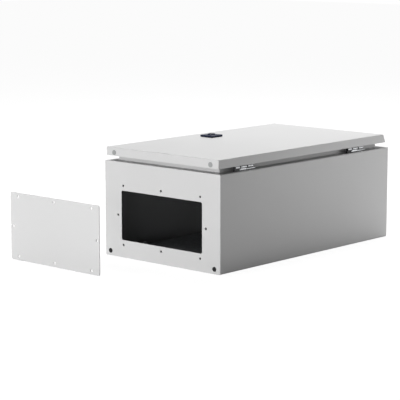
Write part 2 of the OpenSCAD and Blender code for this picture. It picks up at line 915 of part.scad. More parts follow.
// Turning insert with a keyway for a 3 mm double-bit key
module lock_insert() {
    key_d = 8;
    key_wing_w = 11.4;
    key_bit = 3.2;
    key_depth = 8.5;
    post_d = 3;
    tang_short = 0.1;
    color([0.62, 0.63, 0.65])
    translate([lock_x, lock_y, 0])
        difference() {
            union() {
                translate([0, 0, insert_step_z])
                    cylinder(d = insert_head_d, h = insert_head_l);
                translate([0, 0, lock_body_z])
                    cylinder(d = insert_shaft_d, h = insert_step_z - lock_body_z + 1);
                translate([-tang_w / 2, -tang_w / 2, cam_top_z - cam_t + tang_short])
                    cube([tang_w, tang_w, cam_t + seat_gap]);
            }
            difference() {
                translate([0, 0, insert_top_z - key_depth]) {
                    cylinder(d = key_d, h = key_depth + past);
                    translate([-key_wing_w / 2, -key_bit / 2, 0])
                        cube([key_wing_w, key_bit, key_depth + past]);
                }
                translate([0, 0, insert_top_z - key_depth - past])
                    cylinder(d = post_d, h = key_depth + past - 0.6);
            }
            translate([0, 0, cam_top_z - cam_t - past])
                cylinder(d = cam_screw_d + 2 * insert_fit, h = 9 + past);
        }
}

// Cranked cam, drawn along +X and turned to lie along the door in the open position
module lock_cam() {
    hub_r = cam_w / 2 + 1;
    crank_end = cam_crank_start + cam_crank_l;
    color([0.76, 0.77, 0.78])
    translate([lock_x, lock_y, 0])
        rotate([0, 0, 90])
            difference() {
                intersection() {
                    along_y(2 * cam_w)
                        polygon([
                            [-hub_r, cam_top_z], [cam_crank_start, cam_top_z],
                            [crank_end, cam_hook_z], [cam_reach, cam_hook_z],
                            [cam_reach, cam_hook_z - cam_t], [crank_end - cam_bend, cam_hook_z - cam_t],
                            [cam_crank_start - cam_bend, cam_top_z - cam_t], [-hub_r, cam_top_z - cam_t]
                        ]);
                    linear_extrude(2 * body_d) {
                        circle(hub_r);
                        translate([0, -cam_w / 2])
                            square([cam_reach - cam_w / 2, cam_w]);
                        translate([cam_reach - cam_w / 2, 0])
                            circle(cam_w / 2);
                    }
                }
                translate([0, 0, cam_top_z])
                    cube([tang_w + 0.2, tang_w + 0.2, 4 * cam_t], center = true);
            }
}

module lock_cam_screw() {
    color([0.70, 0.70, 0.68])
    translate([lock_x, lock_y, cam_top_z - cam_t - cam_head_h])
        difference() {
            union() {
                cylinder(d = cam_head_d, h = cam_head_h);
                cylinder(d = cam_screw_d, h = cam_head_h + 8);
            }
            translate([0, 0, -past])
                cylinder(d = 5.8, h = 0.6 * cam_head_h + past, $fn = 6);
        }
}

// Gland plate, off the body

module gland_plate() {
    color([0.86, 0.87, 0.87])
    translate([-plate_stand_side, plate_y, plate_z])
        difference() {
            translate([0, -plate_t / 2, 0])
                along_y(plate_t)
                    round_rect(plate_w, plate_h, plate_r);
            at_gland_points(-plate_t / 2)
                cylinder(d = plate_hole_d, h = 4 * plate_t, center = true);
        }
}

module gland_gasket() {
    in_w = gland_open_w + 2 * strip_edge;
    in_h = gland_open_h + 2 * strip_edge;
    color([0.16, 0.16, 0.17])
    translate([-plate_stand_side, plate_y + strip_t / 2, plate_z])
        along_y(strip_t)
            difference() {
                round_rect(in_w + 2 * strip_w, in_h + 2 * strip_w, gland_open_r + strip_w);
                round_rect(in_w, in_h, gland_open_r);
            }
}

body_shell();
gland_weld_nuts();
end_plugs();
hinge_pads();
body_hinge_leaves();
hinge_screws();
hinge_pins();
hinge_washers();
plate_spacers();
plate_studs();
mounting_plate();
plate_washers();
plate_nuts();
body_earth_stud();
body_earth_washer();
body_earth_nut();
door_shell();
door_gasket();
door_rails();
door_hinge_leaves();
door_plugs();
door_earth_stud();
door_earth_washer();
door_earth_nut();
lock_seal();
lock_housing();
lock_nut();
lock_insert();
lock_cam();
lock_cam_screw();
gland_plate();
gland_gasket();
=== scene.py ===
import json
import math

import bpy
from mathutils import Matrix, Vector

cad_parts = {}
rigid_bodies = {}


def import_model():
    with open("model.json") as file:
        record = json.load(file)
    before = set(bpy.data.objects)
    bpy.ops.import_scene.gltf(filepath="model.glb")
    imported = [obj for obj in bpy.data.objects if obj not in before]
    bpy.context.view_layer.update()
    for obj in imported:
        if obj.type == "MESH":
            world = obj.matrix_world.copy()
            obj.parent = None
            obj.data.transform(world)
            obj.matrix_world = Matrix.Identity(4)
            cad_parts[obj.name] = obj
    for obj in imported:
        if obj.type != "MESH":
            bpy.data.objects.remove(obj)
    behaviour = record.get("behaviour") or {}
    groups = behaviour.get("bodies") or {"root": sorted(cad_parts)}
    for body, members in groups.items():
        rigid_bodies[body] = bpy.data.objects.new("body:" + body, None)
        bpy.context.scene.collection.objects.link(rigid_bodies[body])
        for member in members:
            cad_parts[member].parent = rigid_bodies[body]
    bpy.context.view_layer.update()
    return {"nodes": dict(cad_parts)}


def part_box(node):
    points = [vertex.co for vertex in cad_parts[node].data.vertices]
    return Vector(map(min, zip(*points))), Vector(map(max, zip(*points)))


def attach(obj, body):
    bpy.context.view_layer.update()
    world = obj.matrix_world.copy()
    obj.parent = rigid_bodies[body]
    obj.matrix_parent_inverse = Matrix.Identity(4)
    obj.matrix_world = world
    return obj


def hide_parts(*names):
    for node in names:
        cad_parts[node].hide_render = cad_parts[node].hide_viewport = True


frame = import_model()
nodes = frame["nodes"]

# ---------------------------------------------------------------------------
# The studio: a pale floor and a white surround, lit by softboxes behind, high and
# low in front, and beside the far end of the hinge side. The camera stands low
# off the corner between the gland end and the hinges.
# ---------------------------------------------------------------------------

studio = bpy.context.scene
studio.view_settings.view_transform = "Standard"

camera_turn = math.radians(42.04)
camera_rise = math.radians(9.42)
camera_aim = Vector((-0.1824, 0.0, 0.1029))
camera_reach = 4.52
away = Vector((
    math.sin(camera_turn) * math.cos(camera_rise),
    -math.cos(camera_turn) * math.cos(camera_rise),
    math.sin(camera_rise),
))
bpy.ops.object.camera_add(
    location=camera_aim + away * camera_reach,
    rotation=away.to_track_quat("Z", "Y").to_euler(),
)
camera = bpy.context.object
camera.name = "studio_camera"
camera.data.sensor_width = 36
camera.data.lens = 147.13
camera.data.clip_end = 60
studio.camera = camera

middle = (0.0, 0.0, 0.12)
far_end = (0.2, 0.3, 0.12)
for lamp_name, place, aim, size, watts in (
    ("back_softbox", (-0.8, 1.4, 2.8), middle, 1.6, 97.0),
    ("front_high_softbox", (-0.9, -2.5, 2.7), middle, 1.2, 20.0),
    ("far_side_softbox", (0.75, 0.58, 0.25), far_end, 0.5, 1.2),
    ("front_right_softbox", (1.45, -3.3, 0.35), middle, 0.6, 8.0),
    ("front_low_softbox", (-0.4, -3.4, 0.22), middle, 0.42, 50.0),
):
    toward = Vector(place) - Vector(aim)
    bpy.ops.object.light_add(
        type="AREA", location=place, rotation=toward.to_track_quat("Z", "Y").to_euler()
    )
    lamp = bpy.context.object
    lamp.name = lamp_name
    lamp.data.shape = "DISK"
    lamp.data.size = size
    lamp.data.energy = watts

# The loose plate stands between the low softbox and the body, and casts no shadow on it
see_through = bpy.data.collections.new("no_shadow_of_low_softbox")
lamp.light_linking.blocker_collection = see_through


class Shade:
    """One output of a shader node. Sums on it add Math nodes, and node() adds any other kind."""

    def __init__(self, tree, socket=None):
        self.tree = tree
        self.socket = socket

    def node(self, kind, settings=None, inputs=None, output=0):
        made = self.tree.nodes.new("ShaderNode" + kind)
        for name, value in (settings or {}).items():
            if name == "stops":
                ramp = made.color_ramp.elements
                while len(ramp) < len(value):
                    ramp.new(0.5)
                for stop, (where, colour) in zip(ramp, value):
                    stop.position = where
                    stop.color = (*colour, 1.0)
            else:
                setattr(made, name, value)
        for name, value in (inputs or {}).items():
            if isinstance(value, Shade):
                self.tree.links.new(value.socket, made.inputs[name])
            else:
                made.inputs[name].default_value = value
        return Shade(self.tree, made.outputs[output] if made.outputs else None)

    def sum(self, operation, *values):
        return self.node("Math", {"operation": operation}, dict(enumerate(values)))

    def __add__(self, other):
        return self.sum("ADD", self, other)

    def __radd__(self, other):
        return self.sum("ADD", other, self)

    def __sub__(self, other):
        return self.sum("SUBTRACT", self, other)

    def __rsub__(self, other):
        return self.sum("SUBTRACT", other, self)

    def __mul__(self, other):
        return self.sum("MULTIPLY", self, other)

    def __rmul__(self, other):
        return self.sum("MULTIPLY", other, self)

    def __lt__(self, other):
        return self.sum("LESS_THAN", self, other)

    def __gt__(self, other):
        return self.sum("GREATER_THAN", self, other)

    def __abs__(self):
        return self.sum("ABSOLUTE", self)


surround = bpy.data.worlds.new("studio_surround")
studio.world = surround
surround.use_nodes = True
surround.node_tree.nodes.clear()
air = Shade(surround.node_tree)
soft_fill = air.node("Background", inputs={"Color": (1.0, 1.0, 1.0, 1.0), "Strength": 0.10})
white = air.node("Background", inputs={"Color": (1.0, 1.0, 1.0, 1.0), "Strength": 1.0})
looking = air.node("LightPath", output="Is Camera Ray")
through = air.node("LightPath", output="Is Transmission Ray")
shining = air.node("LightPath", output="Is Glossy Ray")
seen = looking.sum("MAXIMUM", looking, through)
whiteness = seen.sum("MAXIMUM", seen, shining * 0.5)
sky = air.node("MixShader", inputs={0: whiteness, 1: soft_fill, 2: white})
air.node("OutputWorld", inputs={"Surface": sky})

bpy.ops.mesh.primitive_plane_add(size=24.0, location=(0.0, 0.0, -0.0004))
floor = bpy.context.object
floor.name = "studio_floor"
floor_paint = bpy.data.materials.new("studio_floor_paint")
floor_paint.use_nodes = True
floor_paint.node_tree.nodes.clear()
ground = Shade(floor_paint.node_tree)
matt = ground.node("BsdfDiffuse", inputs={"Color": (0.60, 0.60, 0.60, 1.0)})
glow = ground.node("Emission", inputs={"Color": (1.0, 1.0, 1.0, 1.0), "Strength": 1.25})
looked_at = ground.node("LightPath", output="Is Camera Ray")
looked_through = ground.node("LightPath", output="Is Transmission Ray")
mirrored = ground.node("LightPath", output="Is Glossy Ray")
whitened = looked_at.sum("MAXIMUM", looked_at, looked_through) * 0.76 + mirrored * 0.25
ground.node(
    "OutputMaterial",
    inputs={"Surface": ground.node("MixShader", inputs={0: whitened, 1: matt, 2: glow})},
)
floor.data.materials.append(floor_paint)

# ---------------------------------------------------------------------------
# Body: folded and welded from 1.5 mm sheet steel, with a flat rim and a
# leaning collar. It is dipped in dark grey primer, then powder coated light
# grey from outside, so its inner faces keep the primer. That dark primer
# grey is partly painted shade, for the dim inside of the body.
# ---------------------------------------------------------------------------

MM = 0.001
shell_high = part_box("body_shell")[1]
body_half_w = shell_high[0]
body_half_l = shell_high[1]
body_depth = 250 * MM
rim_width = 25 * MM
collar_lean = 6 * MM
collar_rise = shell_high[2] - body_depth
sheet = 1.5 * MM
rim_fold = 3 * MM
back_fold = 5 * MM
plan_corner = 2.5 * MM
coat_grey = (0.70, 0.70, 0.70)
# The primer grey is kept dark partly as painted shade for the dim insides of body and door.
primer_and_shade_grey = (0.34, 0.345, 0.35)


def finish_of(name):
    """A new material with an empty node tree, and the Shade to build it with."""
    made = bpy.data.materials.new(name)
    made.use_nodes = True
    made.node_tree.nodes.clear()
    return made, Shade(made.node_tree)


def end_with(shade, **inputs):
    """Puts a Principled shader with these sockets on the material's output."""
    named = {key.replace("_", " "): value for key, value in inputs.items()}
    shade.node("OutputMaterial", inputs={"Surface": shade.node("BsdfPrincipled", inputs=named)})


def mixed(shade, part, first, second):
    """A colour between two colours, by the factor part."""
    pair = {
        key: value if isinstance(value, Shade) else (*value, 1.0)
        for key, value in ((6, first), (7, second))
    }
    return shade.node("Mix", {"data_type": "RGBA"}, {0: part, **pair}, output=2)


def tinted(colour, amount):
    """A colour made lighter or darker, no lighter than white."""
    return tuple(min(1.0, c * amount) for c in colour)


def powder(name, inside=None):
    """Powder coat with a fine orange peel. inside() gives the mask of the primed inner faces, whose
    darker primer grey is partly painted shade.
    """
    made, s = finish_of(name)
    place = s.node("TexCoord", output="Object")
    cloudy = s.node("TexNoise", inputs={"Vector": place, "Scale": 3.5, "Detail": 2.0})
    speck = s.node("TexNoise", inputs={"Vector": place, "Scale": 1100.0, "Detail": 2.0})
    peel = s.node("TexNoise", inputs={"Vector": place, "Scale": 620.0, "Detail": 2.0})
    ripple = s.node("TexNoise", inputs={"Vector": place, "Scale": 170.0, "Detail": 1.0})
    colour = mixed(s, cloudy * 0.5 + speck * 0.5, tinted(coat_grey, 0.96), tinted(coat_grey, 1.035))
    rough = 0.29 + cloudy * 0.08 + speck * 0.07
    if inside:
        # Inner faces get the darker primer grey, which stands partly for painted shade inside.
        primed_and_shaded = inside(s, place)
        mottle = speck * 0.6 + cloudy * 0.4
        primer_and_shade_tone = mixed(s, mottle, tinted(primer_and_shade_grey, 0.86), tinted(primer_and_shade_grey, 1.14))
        colour = mixed(s, primed_and_shaded, colour, primer_and_shade_tone)
        rough = rough + primed_and_shaded * 0.14
    height = peel * 0.6 + ripple * 0.4
    bump = s.node("Bump", inputs={"Strength": 0.25, "Distance": 0.06 * MM, "Height": height})
    end_with(s, Base_Color=colour, Roughness=rough, Normal=bump, Specular_IOR_Level=0.42)
    return made


def axes_of(shade, place):
    """The three parts of a vector or colour."""
    return [shade.node("SeparateXYZ", inputs={0: place}, output=i) for i in range(3)]


def shell_inside(s, place):
    """1 on the shell's inner faces, which lie deeper than half the sheet; there the darker primer
    grey paints in shade.
    """
    x, y, z = axes_of(s, place)

    def behind(a, b, fold):
        """1 where a point is behind both faces, which meet in a round fold."""
        past_a = (a + fold).sum("MAXIMUM", a + fold, 0.0)
        past_b = (b + fold).sum("MAXIMUM", b + fold, 0.0)
        return (past_a * past_a + past_b * past_b) < (fold - sheet / 2) ** 2

    side = abs(x) - body_half_w
    in_body = (
        behind(side, z - body_depth, rim_fold)
        * behind(side, 0.0 - z, back_fold)
        * behind(side, abs(y) - body_half_l, plan_corner)
        * (z < body_depth - sheet / 2)
        * (abs(y) < body_half_l - sheet / 2)
    )
    lean = (z - body_depth) * (collar_lean / collar_rise)
    in_collar = (
        (z > body_depth - sheet)
        * ((abs(x) + lean) < (body_half_w - rim_width - sheet / 2))
        * ((abs(y) + lean) < (body_half_l - rim_width - sheet / 2))
    )
    return in_body.sum("MAXIMUM", in_body, in_collar)


def dress(node_name, paint):
    """Gives a CAD node its finish."""
    for slot in nodes[node_name].material_slots:
        slot.material = paint


shell_paint = powder("body_powder_coat", shell_inside)
dress("body_shell", shell_paint)

# ---------------------------------------------------------------------------
# Weld nuts: eight M6 hexagon nuts, zinc plated, projection welded behind the
# screw holes of the gland opening. Their threads take the gland plate's screws.
# ---------------------------------------------------------------------------


def only(piece):
    """Makes this piece the one that the next operators work on."""
    bpy.ops.object.select_all(action="DESELECT")
    piece.select_set(True)
    bpy.context.view_layer.objects.active = piece


def close_up(piece):
    """Welds the doubled points, fills any slit at a seam and turns the faces outwards."""
    only(piece)
    bpy.ops.object.mode_set(mode="EDIT")
    bpy.ops.mesh.select_all(action="SELECT")
    bpy.ops.mesh.remove_doubles(threshold=0.001 * MM)
    bpy.ops.mesh.select_all(action="SELECT")
    bpy.ops.mesh.fill_holes(sides=0)
    bpy.ops.mesh.select_all(action="SELECT")
    bpy.ops.mesh.normals_make_consistent(inside=False)
    bpy.ops.object.mode_set(mode="OBJECT")


def turned(name, outline, steps=36, close=True):
    """A piece turned round its Z axis: one point is extruded along the outline and spun."""
    bpy.ops.object.select_all(action="DESELECT")
    bpy.ops.mesh.primitive_plane_add(size=MM)
    piece = bpy.context.object
    piece.name = name
    bpy.ops.object.mode_set(mode="EDIT")
    bpy.ops.mesh.select_mode(type="VERT")
    bpy.ops.mesh.select_all(action="SELECT")
    bpy.ops.mesh.merge(type="CENTER")
    bpy.ops.transform.translate(value=(outline[0][0], 0.0, outline[0][1]))
    for (r0, z0), (r1, z1) in zip(outline, outline[1:]):
        bpy.ops.mesh.extrude_region_move(
            TRANSFORM_OT_translate={"value": (r1 - r0, 0.0, z1 - z0)}
        )
    bpy.ops.mesh.select_all(action="SELECT")
    bpy.ops.mesh.spin(
        steps=steps, angle=-math.tau, center=(0, 0, 0), axis=(0, 0, 1), use_auto_merge=False
    )
    bpy.ops.object.mode_set(mode="OBJECT")
    if close:
        close_up(piece)
    return piece


def cut_with(piece, tool, operation):
    """Cuts the piece with a tool solid, which is then deleted."""
    only(piece)
    cut = piece.modifiers.new("cut", "BOOLEAN")
    cut.operation = operation
    cut.solver = "EXACT"
    cut.object = tool
    bpy.ops.object.modifier_apply(modifier="cut")
    bpy.data.objects.remove(tool)


def hexagon(flats, low, high):
    """A hexagonal prism on Z, sized across its flats."""
    bpy.ops.object.select_all(action="DESELECT")
    bpy.ops.mesh.primitive_cylinder_add(
        vertices=6, radius=flats / math.sqrt(3), depth=high - low,
        location=(0.0, 0.0, (low + high) / 2),
    )
    return bpy.context.object


def hex_nut(name, flats, bore, height):
    """A nut on Z from 0: a chamfered, drilled blank, cut down to its six flats."""
    corner = flats / math.sqrt(3) * 1.002
    slope = (corner - flats / 2) * 0.58
    lead = 0.45 * MM
    face = flats * 0.485
    nut = turned(name, [
        (bore / 2 + lead, 0.0), (face, 0.0), (corner, slope), (corner, height - slope),
        (face, height), (bore / 2 + lead, height), (bore / 2, height - lead), (bore / 2, lead),
        (bore / 2 + lead, 0.0),
    ])
    cut_with(nut, hexagon(flats, -height, 2 * height), "INTERSECT")
    return nut


def solids_of(node_name):
    """The low and high corners of each separate solid in a CAD node."""
    mesh = nodes[node_name].data
    key = [tuple(round(c * 1e6) for c in vert.co) for vert in mesh.vertices]
    group = {k: k for k in key}

    def top(k):
        while group[k] != k:
            group[k] = group[group[k]]
            k = group[k]
        return k

    for face in mesh.polygons:
        first = top(key[face.vertices[0]])
        for index in face.vertices[1:]:
            group[top(key[index])] = first
    boxes = {}
    for k in group:
        low, high = boxes.setdefault(top(k), (list(k), list(k)))
        for axis in range(3):
            low[axis] = min(low[axis], k[axis])
            high[axis] = max(high[axis], k[axis])
    return sorted((Vector(low) * 1e-6, Vector(high) * 1e-6) for low, high in boxes.values())


def centre(box):
    """The middle of a box given by its low and high corners."""
    return (box[0] + box[1]) / 2


def seat(piece, place, toward=(0, 0, 1)):
    """Turns the piece's Z axis to a direction, puts it in place and settles it in its mesh."""
    piece.rotation_euler = Vector(toward).to_track_quat("Z", "Y").to_euler()
    piece.location = place
    only(piece)
    bpy.ops.object.transform_apply(location=True, rotation=True, scale=True)


def copy_of(piece, name):
    """A copy of a piece, with its own mesh."""
    only(piece)
    bpy.ops.object.duplicate()
    bpy.context.object.name = name
    return bpy.context.object


def fit(piece, body, paint, slot, *stands_for, sharp=25):
    """Paints and smooths a finished piece, and hangs it on its CAD body."""
    only(piece)
    piece.data.materials.clear()
    piece.data.materials.append(paint)
    bpy.ops.object.shade_smooth_by_angle(angle=math.radians(sharp))
    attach(piece, body)
    if stands_for:
        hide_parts(*stands_for)


def set_out(pattern, node_name, places, body, paint, slot, toward=(0, 0, 1)):
    """Copies a pattern piece to every place, in the stead of the CAD node's solids."""
    for number, place in enumerate(places, 1):
        piece = copy_of(pattern, f"{node_name}_{number}")
        seat(piece, place, toward)
        fit(piece, body, paint, slot, node_name)
    bpy.data.objects.remove(pattern)


def metal(name, colour, rough, cast=(1.0, 1.0, 1.0), cloud=60.0):
    """Bare or plated metal, whose sheen and tint drift a little over its face."""
    made, s = finish_of(name)
    place = s.node("TexCoord", output="Object")
    drift = s.node("TexNoise", inputs={"Vector": place, "Scale": cloud, "Detail": 3.0})
    grain = s.node("TexNoise", inputs={"Vector": place, "Scale": 1500.0, "Detail": 2.0})
    tint = tuple(c * k for c, k in zip(colour, cast))
    tone = mixed(s, drift * 0.7 + grain * 0.3, tinted(tint, 0.90), tinted(colour, 1.06))
    bump = s.node("Bump", inputs={"Strength": 0.3, "Distance": 0.02 * MM, "Height": grain})
    end_with(s, Base_Color=tone, Roughness=rough + drift * 0.16, Metallic=1.0, Normal=bump)
    return made


zinc = metal("zinc_plating", (0.52, 0.53, 0.56), 0.26, cast=(1.0, 0.99, 0.93))
nut_flats = 10 * MM
nut_thread = 6 * MM
nut_boxes = solids_of("gland_weld_nuts")
nut_height = nut_boxes[0][1][1] - nut_boxes[0][0][1]
set_out(
    hex_nut("weld_nut", nut_flats, nut_thread, nut_height),
    "gland_weld_nuts",
    [Vector((centre(b)[0], b[0][1], centre(b)[2])) for b in nut_boxes],
    "body", zinc, "zinc_fixing", toward=(0, 1, 0),
)

# ---------------------------------------------------------------------------
# End plugs: two black nylon push-in plugs that close the holes low in the
# gland end. Each is moulded with a shallow dish and a snap ring.
# ---------------------------------------------------------------------------


def push_plug(name, head_d, head_t, hole_d, wall, reach):
    """A plug on Z whose head lies on the wall's outer face at 0 and whose stem points down."""
    stem = hole_d / 2 - 0.05 * MM
    snap = hole_d / 2 + 0.35 * MM
    head = head_d / 2
    return turned(name, [
        (0.0, -0.5 * MM), (stem - 1.2 * MM, -0.5 * MM), (stem - 1.2 * MM, -reach),
        (stem - 0.5 * MM, -reach), (snap, -wall - 1.2 * MM), (snap, -wall - 0.7 * MM),
        (stem, -wall - 0.15 * MM), (stem, 0.0), (head, 0.0), (head, head_t * 0.35),
        (head - 0.25 * MM, head_t * 0.7), (head - 0.9 * MM, head_t), (head * 0.52, head_t),
        (head * 0.46, head_t * 0.72), (0.0, head_t * 0.72),
    ])


def moulded(name, colour, rough, spread=0.10, shine=0.45):
    """Moulded plastic with a fine spark-eroded grain."""
    made, s = finish_of(name)
    place = s.node("TexCoord", output="Object")
    fine = s.node("TexNoise", inputs={"Vector": place, "Scale": 900.0, "Detail": 3.0})
    broad = s.node("TexNoise", inputs={"Vector": place, "Scale": 45.0, "Detail": 2.0})
    mottle = fine * 0.5 + broad * 0.5
    tone = mixed(s, mottle, tinted(colour, 1 - spread), tinted(colour, 1 + spread))
    bump = s.node("Bump", inputs={"Strength": 0.35, "Distance": 0.02 * MM, "Height": fine})
    end_with(
        s, Base_Color=tone, Roughness=rough + broad * 0.12, Normal=bump, Specular_IOR_Level=shine
    )
    return made


black_nylon = moulded("black_nylon", (0.008, 0.008, 0.009), 0.36, shine=0.3)
plug_boxes = solids_of("end_plugs")
end_head_t = -body_half_l - plug_boxes[0][0][1]
end_head_d = plug_boxes[0][1][0] - plug_boxes[0][0][0]
end_hole = 10 * MM
end_reach = plug_boxes[0][1][1] + body_half_l
set_out(
    push_plug("end_plug", end_head_d, end_head_t, end_hole, sheet, end_reach),
    "end_plugs",
    [Vector((centre(b)[0], -body_half_l, centre(b)[2])) for b in plug_boxes],
    "body", black_nylon, "black_nylon", toward=(0, -1, 0),
)

# ---------------------------------------------------------------------------
# Hinges, body half: a bright die-cast leaf with one knuckle, on a black nylon
# pad, held by two socket screws from inside the rim. A steel pin runs through
# the knuckles, with nylon washers between them and a cap on its lower end.
# ---------------------------------------------------------------------------


def softened(node_name, edge, segments=2):
    """A merged copy of a CAD node with its sharp edges rounded."""
    only(nodes[node_name])
    bpy.ops.object.duplicate()
    piece = bpy.context.object
    bpy.ops.object.parent_clear(type="CLEAR_KEEP_TRANSFORM")
    for key in list(piece.keys()):
        del piece[key]
    piece.name = node_name + "_finished"
    bpy.ops.object.mode_set(mode="EDIT")
    bpy.ops.mesh.select_all(action="SELECT")
    bpy.ops.mesh.remove_doubles(threshold=0.002 * MM)
    bpy.ops.mesh.dissolve_limited(angle_limit=math.radians(0.5))
    bpy.ops.object.mode_set(mode="OBJECT")
    round_off = piece.modifiers.new("round_off", "BEVEL")
    round_off.width = edge
    round_off.segments = segments
    round_off.limit_method = "ANGLE"
    round_off.angle_limit = math.radians(40)
    bpy.ops.object.modifier_apply(modifier="round_off")
    return piece


def socket_screw(name, shank, head, head_h, length, key):
    """A button-head screw on Z: its head's crown is at 0 and its shank points up."""
    tip = 0.5 * MM
    screw = turned(name, [
        (0.0, 0.0), (head * 0.30, 0.0), (head * 0.42, head_h * 0.22), (head * 0.49, head_h * 0.62),
        (head / 2, head_h), (shank / 2, head_h), (shank / 2, length - tip),
        (shank / 2 - tip, length), (0.0, length),
    ])
    cut_with(screw, hexagon(key, -head_h, head_h * 0.55), "DIFFERENCE")
    return screw


def washer(name, outer, inner, thick, edge=0.25 * MM):
    """A washer or sleeve on Z from 0, given by its radii, with its outer edges chamfered."""
    return turned(name, [
        (inner, 0.0), (outer - edge, 0.0), (outer, edge), (outer, thick - edge),
        (outer - edge, thick), (inner, thick), (inner, 0.0),
    ])


bright = metal("bright_die_casting", (0.50, 0.51, 0.52), 0.34, cloud=30.0)
steel = metal("ground_pin_steel", (0.62, 0.62, 0.63), 0.18, cloud=120.0)
fit(softened("hinge_pads", 0.35 * MM), "body", black_nylon, "black_nylon", "hinge_pads")
fit(softened("body_hinge_leaves", 0.3 * MM), "body", bright, "bright_steel", "body_hinge_leaves")

screw_boxes = solids_of("hinge_screws")
screw_low, screw_high = screw_boxes[0]
screw_thread = 5 * MM
screw_head_h = 3.2 * MM
screw_key = 3 * MM
set_out(
    socket_screw(
        "hinge_screw", screw_thread, screw_high[0] - screw_low[0], screw_head_h,
        screw_high[2] - screw_low[2], screw_key,
    ),
    "hinge_screws",
    [Vector((centre(b)[0], centre(b)[1], b[0][2])) for b in screw_boxes],
    "body", zinc, "zinc_fixing",
)

pin_boxes = solids_of("hinge_pins")
pin_r = (pin_boxes[0][1][0] - pin_boxes[0][0][0]) / 2
pin_l = pin_boxes[0][1][1] - pin_boxes[0][0][1]
set_out(
    turned("hinge_pin", [
        (0.0, 0.0), (pin_r * 0.85, 0.0), (pin_r, 0.3 * MM), (pin_r, pin_l - 0.9 * MM),
        (pin_r * 0.88, pin_l - 0.35 * MM), (pin_r * 0.6, pin_l - 0.08 * MM), (0.0, pin_l),
    ]),
    "hinge_pins",
    [Vector((centre(b)[0], b[0][1], centre(b)[2])) for b in pin_boxes],
    "body", steel, "bright_steel", toward=(0, 1, 0),
)

ring_boxes = solids_of("hinge_washers")
cap_boxes = [b for b in ring_boxes if b[1][1] - b[0][1] < 4 * MM]
ring_boxes = [b for b in ring_boxes if b[1][1] - b[0][1] >= 4 * MM]
cap_r = (cap_boxes[0][1][0] - cap_boxes[0][0][0]) / 2
cap_l = cap_boxes[0][1][1] - cap_boxes[0][0][1]
ring_r = (ring_boxes[0][1][0] - ring_boxes[0][0][0]) / 2
ring_l = ring_boxes[0][1][1] - ring_boxes[0][0][1]
bore_r = pin_r + 0.05 * MM
nylon_rings = [
    (washer("hinge_ring", ring_r, bore_r, ring_l, 0.5 * MM), ring_boxes),
    (turned("hinge_cap", [
        (0.0, 0.0), (cap_r * 0.5, 0.0), (cap_r * 0.85, 0.35 * MM), (cap_r, 1.0 * MM),
        (cap_r, cap_l), (bore_r, cap_l), (bore_r, cap_l / 2), (0.0, cap_l / 2),
    ]), cap_boxes),
]
for pattern, boxes in nylon_rings:
    for number, box in enumerate(boxes, 1):
        piece = copy_of(pattern, f"{pattern.name}_{number}")
        seat(piece, Vector((centre(box)[0], box[0][1], centre(box)[2])), (0, 1, 0))
        fit(piece, "body", black_nylon, "black_nylon", "hinge_washers")
    bpy.data.objects.remove(pattern)

# ---------------------------------------------------------------------------
# Mounting plate: 2 mm galvanised steel with folded long edges, on four M8
# studs welded to the back. Spacers carry it, washers and nuts hold it down.
# ---------------------------------------------------------------------------


def threaded(name, diameter, length, pitch, clear):
    """A stud on Z: plain for the length clear, then a thread whose rings are drawn into a helix."""
    steps = 24
    crest = diameter / 2
    root = crest - 0.58 * pitch
    first = clear + 0.5 * pitch
    outline = [(0.0, 0.0), (crest, 0.0), (crest, clear), (root, first)]
    for turn in range(int((length - first) / pitch) - 1):
        level = first + turn * pitch
        outline += [
            (crest, level + 0.42 * pitch), (crest, level + 0.58 * pitch), (root, level + pitch)
        ]
    outline += [(root, length), (0.0, length)]
    stud = turned(name, outline, steps, close=False)
    for vert in stud.data.vertices:
        if first - 0.01 * pitch < vert.co.z < length - 0.1 * pitch:
            step = vert.index // len(outline)
            vert.co.z += pitch * step / steps
    close_up(stud)
    return stud


def spangled(name, colour, rough):
    """Hot-dip galvanised sheet: a patchwork of zinc crystals, each with its own sheen."""
    made, s = finish_of(name)
    place = s.node("TexCoord", output="Object")
    wobble = s.node("TexNoise", inputs={"Vector": place, "Scale": 140.0, "Detail": 2.0}, output=1)
    bent = s.node(
        "VectorMath", {"operation": "MULTIPLY_ADD"},
        {0: wobble, 1: (0.006, 0.006, 0.006), 2: place},
    )
    crystals = s.node("TexVoronoi", inputs={"Vector": bent, "Scale": 130.0}, output="Color")
    pick, other, _ = axes_of(s, crystals)
    grain = s.node("TexNoise", inputs={"Vector": place, "Scale": 1300.0, "Detail": 2.0})
    tone = mixed(s, pick * 0.75 + grain * 0.25, tinted(colour, 0.86), tinted(colour, 1.12))
    bump = s.node("Bump", inputs={"Strength": 0.3, "Distance": 0.02 * MM, "Height": grain})
    end_with(s, Base_Color=tone, Roughness=rough + other * 0.12, Metallic=1.0, Normal=bump)
    return made


galvanised = spangled("galvanised_sheet", (0.36, 0.375, 0.39), 0.55)
fit(softened("mounting_plate", 0.3 * MM, 1), "body", galvanised, "zinc_plate", "mounting_plate")

stud_boxes = solids_of("plate_studs")
stud_l = stud_boxes[0][1][2] - stud_boxes[0][0][2]
spacer_boxes = solids_of("plate_spacers")
spacer_l = spacer_boxes[0][1][2] - spacer_boxes[0][0][2]
washer_boxes = solids_of("plate_washers")
washer_t = washer_boxes[0][1][2] - washer_boxes[0][0][2]
plate_nut_boxes = solids_of("plate_nuts")
plate_nut_h = plate_nut_boxes[0][1][2] - plate_nut_boxes[0][0][2]
stud_foot = [Vector((centre(b)[0], centre(b)[1], b[0][2])) for b in stud_boxes]
stud_thread = 8 * MM
stud_pitch = 1.25 * MM
stud_plain = spacer_l - 1.5 * MM
nut_bore = 8.2 * MM
spacer_r = 8 * MM
spacer_edge = 0.5 * MM
washer_r = 8 * MM
plate_nut_flats = 13 * MM


def lifted(places, level):
    """The same places at another height."""
    return [Vector((p.x, p.y, level)) for p in places]


